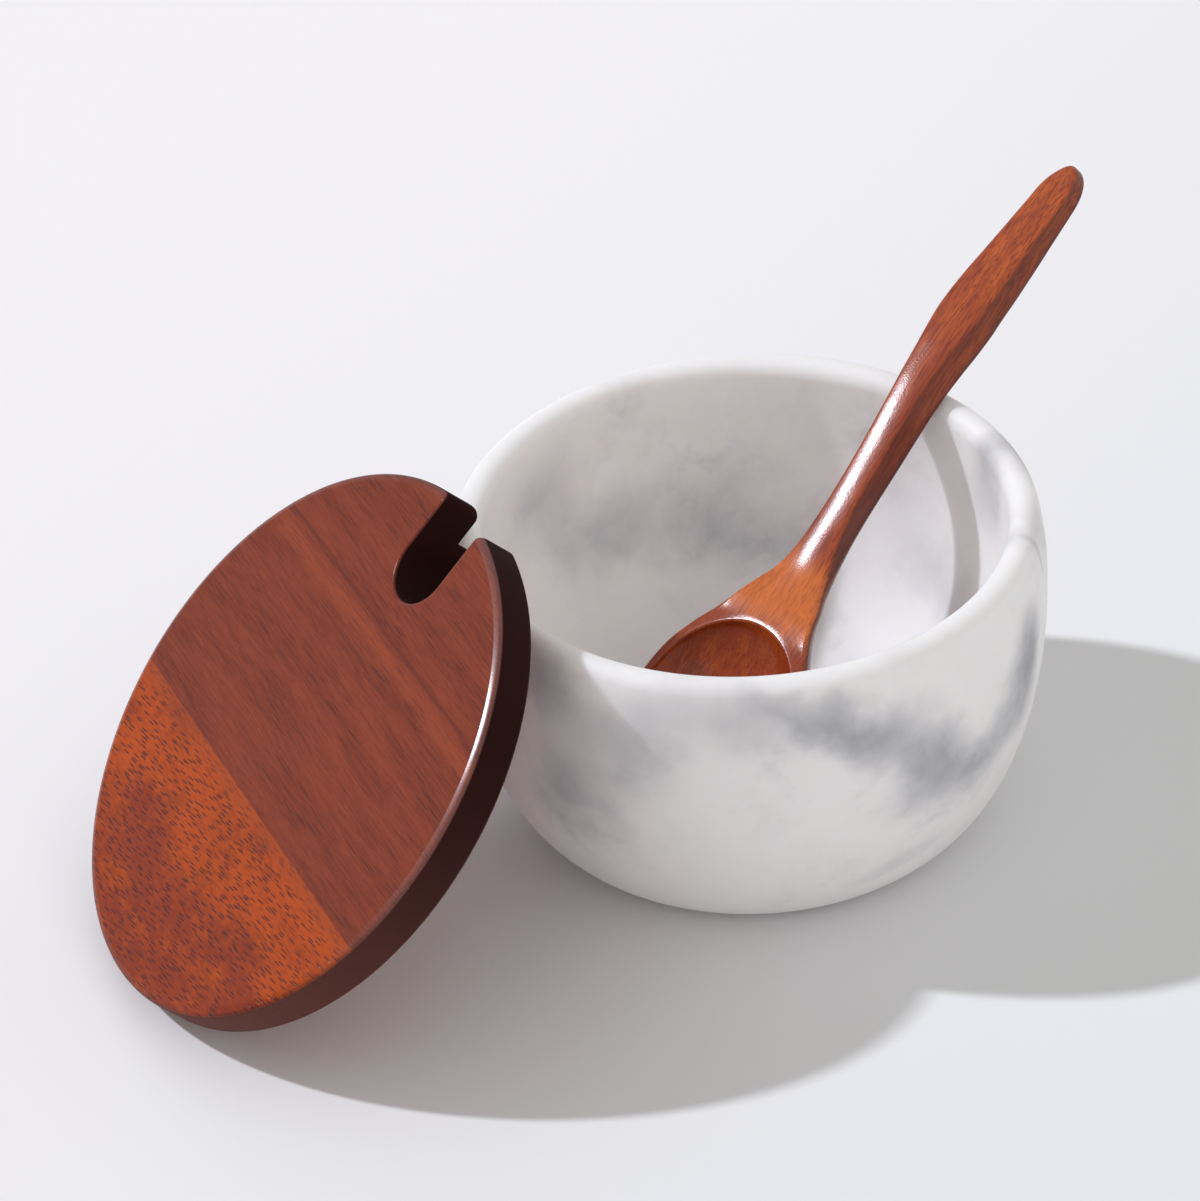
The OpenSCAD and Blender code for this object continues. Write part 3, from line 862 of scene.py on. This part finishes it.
def lacquer_skin_tree():
    """The fine unevenness of sprayed lacquer over wood, as a height."""
    tree, size, output = new_tree("lacquer_skin", "ShaderNodeTree", [
        ("Vector", "NodeSocketVector", None),
        ("Grain Size", "NodeSocketFloat", 0.3),
    ], [("Height", "NodeSocketFloat")])
    x, y, z = split(tree, size["Vector"])
    grain = size["Grain Size"]
    fine = noise(tree, join(tree, x / grain, y / grain, z / grain), detail=1.0)
    broad = noise(tree, join(tree, x / (grain * 8), y / (grain * 14), z / (grain * 8)))
    feed(tree, output.inputs[0], fine * 0.6 + broad)
    return tree


WOOD_GRAIN = wood_grain_tree()
STONE_CLOUD = stone_cloud_tree()
LACQUER_SKIN = lacquer_skin_tree()


def group(tree, group_tree, inputs):
    node = add_node(tree, "ShaderNodeGroup", node_tree=group_tree)
    for name, value in inputs.items():
        feed(tree, node.inputs[name], value)
    return [Field(tree, socket) for socket in node.outputs]


def new_material(name, place, specular=0.5, **settings):
    """A material, its shader, and the piece's own coordinates in millimetres."""
    material = bpy.data.materials.new(name)
    material.use_nodes = True
    tree = material.node_tree
    shader = tree.nodes["Principled BSDF"]
    shader.inputs["Specular IOR Level"].default_value = specular
    for socket, value in settings.items():
        shader.inputs[socket.replace("_", " ").title()].default_value = value
    coordinates = add_node(tree, "ShaderNodeTexCoord")
    own = add_node(tree, "ShaderNodeMapping", {
        "Vector": coordinates.outputs["Object"], "Location": place.to_translation(),
        "Rotation": Vector(place.to_euler()), "Scale": (MM, MM, MM)}, vector_type="TEXTURE")
    return material, tree, shader, own.outputs[0]


def blend(tree, share, a, b):
    """A colour from a to b by a share."""
    node = add_node(tree, "ShaderNodeMix", data_type="RGBA")
    feed(tree, node.inputs["Factor"], share)
    for socket, value in ((node.inputs[6], a), (node.inputs[7], b)):
        feed(tree, socket, (*value, 1) if isinstance(value, tuple) else value)
    return node.outputs[2]


def bump(tree, shader, height, strength, distance):
    node = add_node(tree, "ShaderNodeBump", {
        "Height": height, "Strength": strength, "Distance": distance})
    tree.links.new(node.outputs[0], shader.inputs["Normal"])


def upright_share(tree, place):
    """How far the surface faces up in the piece's own frame: 1 on its top, -1 underneath."""
    geometry = add_node(tree, "ShaderNodeNewGeometry")
    normal = add_node(tree, "ShaderNodeVectorTransform", {0: geometry.outputs["Normal"]},
                      vector_type="NORMAL", convert_from="WORLD", convert_to="OBJECT")
    own = add_node(tree, "ShaderNodeMapping", {
        "Vector": normal.outputs[0], "Rotation": Vector(place.to_euler())},
        vector_type="TEXTURE")
    return split(tree, own.outputs[0])[2]


# The height of the lacquer's fine unevenness
LACQUER_HEIGHT = 0.045 * MM
# The stain where it soaks in round the lid, and a lighter, greyer colour low on the lid, which is
# a painted reflection of the floor on the lid's side
STAIN_COLOUR = (0.02, 0.003, 0.002)
STAIN_WITH_PAINTED_REFLECTION_COLOUR = (0.13, 0.045, 0.034)
BOARD_ROUGHNESS = 0.22
END_GRAIN_ROUGHNESS = 0.82
BOARD_SHINE = {"specular": 0.12, "coat_roughness": 0.2}
EDGE_COAT = 0.9
# The direction across the lid in which its edge catches the light
SHINY_SIDE = (0.63, -0.78)


def finish_board(tree, shader, own, colour, pores):
    """Darkens the end grain round a board, where the stain soaks in, lightens it low on the lid
    with a painted reflection of the floor, and gives the rounded edges, where the lacquer
    gathers, their shine."""
    upright = upright_share(tree, LID_PLACE).abs()
    side = upright.ramp(0.75, 0.3)
    edge = upright.ramp(0.998, 0.96) * upright.ramp(0.35, 0.6)
    colour = blend(tree, upright.ramp(0.99, 0.8) * 0.35, colour, STAIN_COLOUR)
    x, y, _ = split(tree, own)
    # Painted reflection: low on the lid the side's stain turns lighter and greyer, standing in
    # for the floor's reflection
    stain_with_painted_reflection = blend(tree, x.ramp(30.0, -50.0), STAIN_COLOUR, STAIN_WITH_PAINTED_REFLECTION_COLOUR)
    tree.links.new(blend(tree, side, colour, stain_with_painted_reflection), shader.inputs["Base Color"])
    feed(tree, shader.inputs["Roughness"],
         side * (END_GRAIN_ROUGHNESS - BOARD_ROUGHNESS) + BOARD_ROUGHNESS)
    facing = (x * SHINY_SIDE[0] + y * SHINY_SIDE[1]).ramp(12.0, 42.0)
    feed(tree, shader.inputs["Coat Weight"], edge * facing * EDGE_COAT)
    skin, = group(tree, LACQUER_SKIN, {"Vector": own, "Grain Size": 0.32})
    bump(tree, shader, skin * (1 - edge * 0.4) - pores * 0.8, 1.0, LACQUER_HEIGHT)


# Where the main board's two streaks lie, in millimetres from the lid's middle
LIGHT_STREAK_AT = 22.0
DARK_STREAK_AT = 24.8


def main_board_material():
    material, tree, shader, own = new_material("reddish_brown_wood", LID_PLACE, **BOARD_SHINE)
    across, bands, fibres, pores = group(tree, WOOD_GRAIN, {
        "Vector": own, "Band Width": 4.0, "Fibre Width": 0.3, "Fibre Length": 9.0,
        "Pore Spacing": 0.44, "Pore Length": 10.0})
    x, y, z = split(tree, own)
    mottle = noise(tree, join(tree, x * 1.6, y * 0.22, z * 1.6), detail=5.0, roughness=0.65)
    lit = (bands * 0.7 + mottle * 0.6 - 0.15).ramp(0.28, 0.72)
    colour = blend(tree, lit, (0.175, 0.0285, 0.0133), (0.243, 0.0455, 0.0177))
    light_streak = (across - LIGHT_STREAK_AT).abs().ramp(2.6, 0.3) * 0.4
    colour = blend(tree, light_streak, colour, (0.34, 0.066, 0.022))
    dark_streak = (across - DARK_STREAK_AT).abs().ramp(0.6, 0.1) * 0.7
    colour = blend(tree, dark_streak, colour, (0.13, 0.022, 0.013))
    colour = blend(tree, fibres.ramp(0.53, 0.63) * 0.5, colour, (0.115, 0.02, 0.0115))
    colour = blend(tree, fibres.ramp(0.44, 0.32) * 0.14, colour, (0.36, 0.08, 0.038))
    dark = pores * bands.ramp(0.6, 0.35)
    colour = blend(tree, dark * 0.7, colour, (0.075, 0.013, 0.01))
    finish_board(tree, shader, own, colour, dark * 0.5)
    return material


def side_board_material():
    material, tree, shader, own = new_material("orange_brown_wood", LID_PLACE, **BOARD_SHINE)
    _, bands, fibres, pores = group(tree, WOOD_GRAIN, {
        "Vector": own, "Band Width": 5.0, "Fibre Width": 0.5, "Fibre Length": 3.5,
        "Pore Spacing": 0.52, "Pore Length": 4.2, "Pore Tilt": 0.12, "Wander": 3.0})
    x, y, z = split(tree, own)
    zones = noise(tree, join(tree, x * 0.09, y * 0.05, z * 0.09), detail=5.0, roughness=0.62)
    # The board is lighter towards the seam
    by_seam = x.ramp(-36.0, -16.0) * 0.2 + y.ramp(10.0, -30.0) * 0.04
    mottle = noise(tree, join(tree, x * 0.8, y * 0.45, z * 0.8), detail=5.0, roughness=0.7)
    lit = (zones + by_seam + bands * 0.25 + mottle * 0.5 - 0.46).ramp(0.34, 0.7)
    colour = blend(tree, lit, (0.235, 0.033, 0.01), (0.44, 0.067, 0.006))
    colour = blend(tree, fibres.ramp(0.48, 0.7) * 0.55, colour, (0.17, 0.026, 0.01))
    # A strip along the seam, without pores
    strip = x.ramp(-15.5, -13.2) * 0.5
    colour = blend(tree, strip, colour, (0.31, 0.055, 0.016))
    colour = blend(tree, pores * 0.85 * (1 - strip), colour, (0.085, 0.014, 0.01))
    finish_board(tree, shader, own, colour, pores)
    return material


# The lacquer on the spoon leans towards the tip by this slope
LACQUER_LEAN = 0.1


def spoon_material():
    # Turned so that the grain, which follows Y, runs along the spoon
    place = SPOON_PLACE @ Matrix.Rotation(math.radians(-90), 4, "Z")
    material, tree, shader, own = new_material(
        "lacquered_wood", place, specular=0.35, roughness=0.2)
    _, bands, fibres, pores = group(tree, WOOD_GRAIN, {
        "Vector": own, "Band Width": 2.5, "Fibre Width": 0.34, "Fibre Length": 8.0,
        "Pore Spacing": 0.4, "Pore Length": 4.0})
    along = split(tree, own)[1]
    hollow = along.ramp(38.0, 33.0)
    shoulder = along.ramp(33.0, 38.0) * along.ramp(52.0, 45.0)
    neck = along.ramp(46.0, 52.0) * along.ramp(105.0, 75.0)
    colour = blend(tree, bands.ramp(0.3, 0.7), (0.34, 0.055, 0.012), (0.52, 0.1, 0.018))
    # Painted shade: the hollow is darker
    colour = blend(tree, hollow * 0.5, colour, (0.2, 0.025, 0.003))
    # Painted light: the shoulder is lighter and more orange, as if it faced the light more
    colour = blend(tree, shoulder * 0.6, colour, (0.74, 0.2, 0.04))
    colour = blend(tree, fibres.ramp(0.47, 0.63) * 0.75 * (1 - shoulder * 0.55), colour,
                   (0.19, 0.024, 0.007))
    colour = blend(tree, pores * 0.4 * (1 - shoulder * 0.6), colour, (0.14, 0.018, 0.007))
    # Painted shade: from the neck along the handle the colour is darker
    colour = blend(tree, neck * 0.4, colour, (0.2, 0.03, 0.014))
    # Painted shade: the colour is darker on the sides and underneath
    painted_side_shade = upright_share(tree, place).ramp(0.55, 0.0) * 0.8
    colour = blend(tree, painted_side_shade, colour, (0.07, 0.011, 0.004))
    tree.links.new(colour, shader.inputs["Base Color"])
    skin, = group(tree, LACQUER_SKIN, {"Vector": own, "Grain Size": 0.34})
    lean = along * (LACQUER_LEAN * MM / LACQUER_HEIGHT)
    bump(tree, shader, skin * 0.55 - lean, 1.0, LACQUER_HEIGHT)
    return material


# The marble's clouds on the outer and on the inner wall, a few of the outer ones partly painted
# shade: bearing and height of the middle, half length round the wall, half width up it, tilt, and
# strength. Degrees and millimetres.
OUTER_CLOUDS_AND_PAINTED_SHADE = (
    (-84, 53, 17, 6, -26, 0.6),
    (-70, 46, 20, 8, -34, 0.9),
    (-60, 41, 15, 12, -40, 0.6),
    (-53, 34, 12, 12, -50, 0.9),
    (-60, 30, 9, 11, -60, 0.45),
    (-41, 29, 17, 9, 22, 0.85),
    (-28, 35, 10, 13, 10, 0.7),
    (-26, 41, 8, 13, 5, 0.9),
    (-61, 13, 15, 3.4, 12, 0.25),
    (18, 57, 13, 8, 0, 0.9),
    (-8, 57, 11, 8, 0, 0.4),
    (-14, 56, 2, 9, 0, 0.6),
    (-98, 52, 28, 12, -5, 0.4),
    # Partly painted shade: these three, on the front left in the lid's shadow, are partly grey
    # stone and partly shade
    (-118, 44, 16, 16, 20, 0.45),
    (-130, 26, 15, 22, 0, 0.85),
    (-132, 52, 11, 14, 0, 0.7),
)
INNER_CLOUDS = (
    (104, 30, 30, 15, -10, 0.3),
    (127, 30, 19, 16, 20, 0.4),
    (142, 44, 16, 14, 0, 0.4),
    (84, 25, 19, 13, 0, 0.3),
    (33, 24, 20, 13, 25, 0.35),
    (20, 50, 9, 13, 15, 0.55),
    (2, 44, 6, 19, 20, 0.7),
    (19, 57, 8, 8, 0, 0.6),
    (-14, 57, 6, 8, 0, 0.4),
    (-58, 56, 9, 8, 0, 0.3),
)


# How deep a cloud reaches into the stone, and how far noise moves its outline
CLOUD_DEPTH = 6
WARP = 9
RIPPLE = 5
CLEAR_MARBLE = (0.93, 0.91, 0.91)
GREY_MARBLE = (0.36, 0.37, 0.41)


def wall_radius(height, radius, low, fullness):
    """The radius of a wall at a height, or what a wall adds to the foot's radius."""
    share = max(0, min(1, (WIDEST_HEIGHT - height) / (WIDEST_HEIGHT - low)))
    return radius * (1 - share ** fullness) ** (1 / fullness)


def marble_material():
    material, tree, shader, own = new_material(
        "white_marble", Matrix(), specular=0.3, roughness=0.5)
    shader.inputs["Subsurface Weight"].default_value = 0.6
    shader.inputs["Subsurface Radius"].default_value = (1.0, 0.85, 0.75)
    shader.inputs["Subsurface Scale"].default_value = 6 * MM
    x, y, z = split(tree, own)
    warps = [noise(tree, own, scale=scale, detail=3.0) - 0.5 for scale in (0.045, 0.05, 0.055)]
    ripples = [noise(tree, own, scale=scale, detail=4.0) - 0.5 for scale in (0.16, 0.17, 0.18)]
    warped = join(tree, *(place + warp * WARP + ripple * RIPPLE
                          for place, warp, ripple in zip((x, y, z), warps, ripples)))
    soft = noise(tree, warped, scale=0.035, detail=4.0, roughness=0.5).ramp(0.42, 0.75)
    wisps = noise(tree, warped, scale=0.11, detail=6.0, roughness=0.65).ramp(0.45, 0.75)
    grey = soft * (wisps * 0.25 + 0.06) + wisps * 0.04
    clear = None
    for walls, outer in ((OUTER_CLOUDS_AND_PAINTED_SHADE, True), (INNER_CLOUDS, False)):
        for bearing, height, length, width, tilt, strength in walls:
            height *= MM
            r = (FOOT_R + wall_radius(height, BOWL_R - FOOT_R, 0, OUTER_FULLNESS) if outer
                 else wall_radius(height, HOLLOW_R, FLOOR_THICKNESS, INNER_FULLNESS))
            a = math.radians(bearing)
            turn = Matrix.Rotation(a, 3, "Z") @ Matrix.Rotation(math.radians(tilt), 3, "X")
            cloud, = group(tree, STONE_CLOUD, {
                "Vector": warped,
                "Place": (r / MM * math.cos(a), r / MM * math.sin(a), height / MM),
                "Turn": Vector(turn.to_euler()), "Radii": (CLOUD_DEPTH, length, width)})
            bare = 1 - cloud * strength
            clear = bare if clear is None else clear * bare
    mottle = noise(tree, own, scale=0.2, detail=4.0)
    amount = (grey + (1 - clear) * (mottle * 0.7 + 0.5)).least(1.0)
    colour = blend(tree, amount, CLEAR_MARBLE, GREY_MARBLE)
    tree.links.new(colour, shader.inputs["Base Color"])
    bump(tree, shader, noise(tree, own, scale=1.2, detail=3.0), 0.2, 0.05 * MM)
    return material


add_piece("marble_bowl", bowl_mesh(marble_material()), "bowl", "bowl")
add_piece("lid_main_board_wood", board_mesh("lid_main_board_wood", main_board_chain),
          "lid", "lid_main_board", main_board_material())
add_piece("lid_side_board_wood", board_mesh("lid_side_board_wood", side_board_chain),
          "lid", "lid_side_board", side_board_material())
add_piece("wooden_spoon", spoon_mesh(), "spoon", "spoon", spoon_material())


TABLE_REACH = 3
TABLE_GAP = 0.05 * MM
KEY_STRENGTH = 1.82
KEY_SPREAD = math.radians(2.5)
KEY_COLOUR = (0.96, 0.99, 1.09)
KEY_FROM = (-0.6817, 0.1556, 0.7149)
# The soft light: its colour, its mean strength, and the side from which it is stronger
SOFT_COLOUR = (1, 0.985, 0.95, 1)
SOFT_STRENGTH = 0.525
SOFT_SIDE = (0.27, -0.26, 0.03)
BACKDROP_COLOUR = (0.9, 0.9, 0.95, 1)


def floor_piece():
    """A pale table top, a little greyer to the right and towards the camera, which is painted
    light: the fall-off of a near lamp.
    """
    mesh = bpy.data.meshes.new("table_top")
    corners = ((-1, -1), (1, -1), (1, 1), (-1, 1))
    mesh.from_pydata([(x * TABLE_REACH, y * TABLE_REACH, -TABLE_GAP) for x, y in corners],
                     [], [(0, 1, 2, 3)])
    floor = bpy.data.objects.new("table_top", mesh)
    bpy.context.scene.collection.objects.link(floor)
    material, tree, shader, own = new_material("pale_table", Matrix(), roughness=0.6)
    x, y, _ = split(tree, own)
    # Painted light: the table's colour falls off to the right and towards the camera like a near
    # lamp's light
    across = (x * 0.8 - y * 0.5).ramp(-160.0, 160.0)
    colour = blend(tree, across, (0.955, 0.935, 0.955), (0.82, 0.835, 0.85))
    tree.links.new(colour, shader.inputs["Base Color"])
    mesh.materials.append(material)


def light():
    """The key light, high on the left and a little behind."""
    lamp = bpy.data.lights.new("key_lamp", "SUN")
    lamp.energy = KEY_STRENGTH
    lamp.angle = KEY_SPREAD
    lamp.color = KEY_COLOUR
    key = bpy.data.objects.new("key_lamp", lamp)
    bpy.context.scene.collection.objects.link(key)
    key.rotation_euler = Vector(KEY_FROM).to_track_quat("Z", "Y").to_euler()


def surroundings():
    """Soft light from all round, which the camera and reflections see as a pale backdrop."""
    world = bpy.data.worlds.new("studio")
    bpy.context.scene.world = world
    world.use_nodes = True
    tree = world.node_tree
    soft = tree.nodes["Background"]
    direction = add_node(tree, "ShaderNodeTexCoord").outputs["Generated"]
    side = add_node(tree, "ShaderNodeVectorMath", {0: direction, 1: SOFT_SIDE},
                    operation="DOT_PRODUCT")
    soft.inputs["Color"].default_value = SOFT_COLOUR
    feed(tree, soft.inputs["Strength"],
         (Field(tree, side.outputs["Value"]) + 1) * SOFT_STRENGTH)
    pale = add_node(tree, "ShaderNodeBackground", {"Color": BACKDROP_COLOUR,
                                                   "Strength": 1.0})
    rays = add_node(tree, "ShaderNodeLightPath")
    seen = Field(tree, rays.outputs["Is Camera Ray"]).most(
        Field(tree, rays.outputs["Is Glossy Ray"])).most(
        Field(tree, rays.outputs["Is Transmission Ray"]))
    both = add_node(tree, "ShaderNodeMixShader", {
        0: seen, 1: soft.outputs[0], 2: pale.outputs[0]})
    tree.links.new(both.outputs[0], tree.nodes["World Output"].inputs["Surface"])


floor_piece()
light()
surroundings()
bpy.context.scene.view_settings.view_transform = "Standard"
